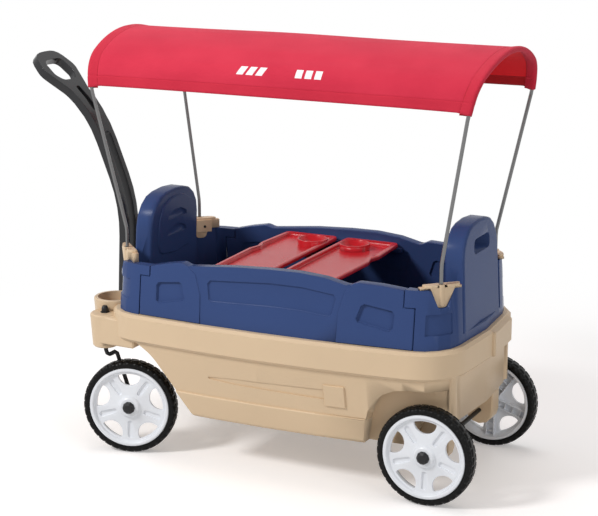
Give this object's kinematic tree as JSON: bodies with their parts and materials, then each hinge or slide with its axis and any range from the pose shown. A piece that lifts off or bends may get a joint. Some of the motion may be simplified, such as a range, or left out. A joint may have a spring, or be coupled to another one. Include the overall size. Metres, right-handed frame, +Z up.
{
  "type": "hand-pulled wagon",
  "caption": "Moulded pull wagon with a cloth canopy on hoops, facing seats, lift-out trays, swivelling front wheels and a folding pull handle.",
  "frame": {"origin": "point on the floor below the middle of the tub", "axes": "+Z up, +X from the pull handle to the rear end, +Y to the side away from the camera of the picture"},
  "size_m": [1.3858, 0.6162, 1.1168],
  "materials": {
    "tan": "satin",
    "blue": "satin",
    "red": "satin",
    "cloth": "woven",
    "grey_steel": "satin",
    "handle": "satin",
    "white": "satin",
    "tyre": "satin",
    "black_steel": "satin",
    "black_plastic": "satin"
  },
  "bodies": {
    "wagon": {"tub": "tan", "bracket_rear_near": "tan", "bracket_rear_far": "tan", "bracket_front_near": "tan", "bracket_front_far": "tan", "cabin_liner": "blue", "front_end": "blue", "rear_end": "blue", "side_panel_near": "blue", "side_panel_far": "blue", "tray_front": "red", "tray_rear": "red", "canopy": "cloth", "hoop_front": "grey_steel", "hoop_rear": "grey_steel", "rear_axle": "black_steel", "handle_pin": "black_steel", "pin_nut_near": "black_steel", "pin_nut_far": "black_steel", "kingpin_washer_near": "black_steel", "kingpin_washer_far": "black_steel", "rear_cap_near": "black_plastic", "rear_cap_far": "black_plastic", "bracket_rear_near_screw": "black_plastic", "bracket_rear_far_screw": "black_plastic", "bracket_front_near_screw": "black_plastic", "bracket_front_far_screw": "black_plastic"},
    "handle": {"handle": "handle"},
    "caster_near": {"caster_rod_near": "black_steel", "kingpin_cap_near": "black_plastic", "front_cap_near": "black_plastic"},
    "caster_far": {"caster_rod_far": "black_steel", "kingpin_cap_far": "black_plastic", "front_cap_far": "black_plastic"},
    "wheel_front_near": {"front_wheel_near_rim": "white", "front_wheel_near_tyre": "tyre"},
    "wheel_front_far": {"front_wheel_far_rim": "white", "front_wheel_far_tyre": "tyre"},
    "wheel_rear_near": {"rear_wheel_near_rim": "white", "rear_wheel_near_tyre": "tyre"},
    "wheel_rear_far": {"rear_wheel_far_rim": "white", "rear_wheel_far_tyre": "tyre"}
  },
  "joints": [
    {"name": "handle_hinge", "type": "hinge", "parent": "wagon", "child": "handle", "pos_m": [-0.572, 0, 0.352], "axis": [0, -1, 0], "range_deg": [0, 90]},
    {"name": "swivel_near", "type": "hinge", "parent": "wagon", "child": "caster_near", "pos_m": [-0.51, -0.221, 0.3], "axis": [0, 0, 1], "continuous": true},
    {"name": "swivel_far", "type": "hinge", "parent": "wagon", "child": "caster_far", "pos_m": [-0.51, 0.221, 0.3], "axis": [0, 0, 1], "continuous": true},
    {"name": "spin_front_near", "type": "hinge", "parent": "caster_near", "child": "wheel_front_near", "pos_m": [-0.43128, -0.22889, 0.127], "axis": [-0.2588, 0.9659, 0], "continuous": true},
    {"name": "spin_front_far", "type": "hinge", "parent": "caster_far", "child": "wheel_front_far", "pos_m": [-0.44577, 0.2672, 0.127], "axis": [-0.2588, 0.9659, 0], "continuous": true},
    {"name": "spin_rear_near", "type": "hinge", "parent": "wagon", "child": "wheel_rear_near", "pos_m": [0.422, -0.239, 0.127], "axis": [0, 1, 0], "continuous": true},
    {"name": "spin_rear_far", "type": "hinge", "parent": "wagon", "child": "wheel_rear_far", "pos_m": [0.422, 0.239, 0.127], "axis": [0, 1, 0], "continuous": true}
  ]
}
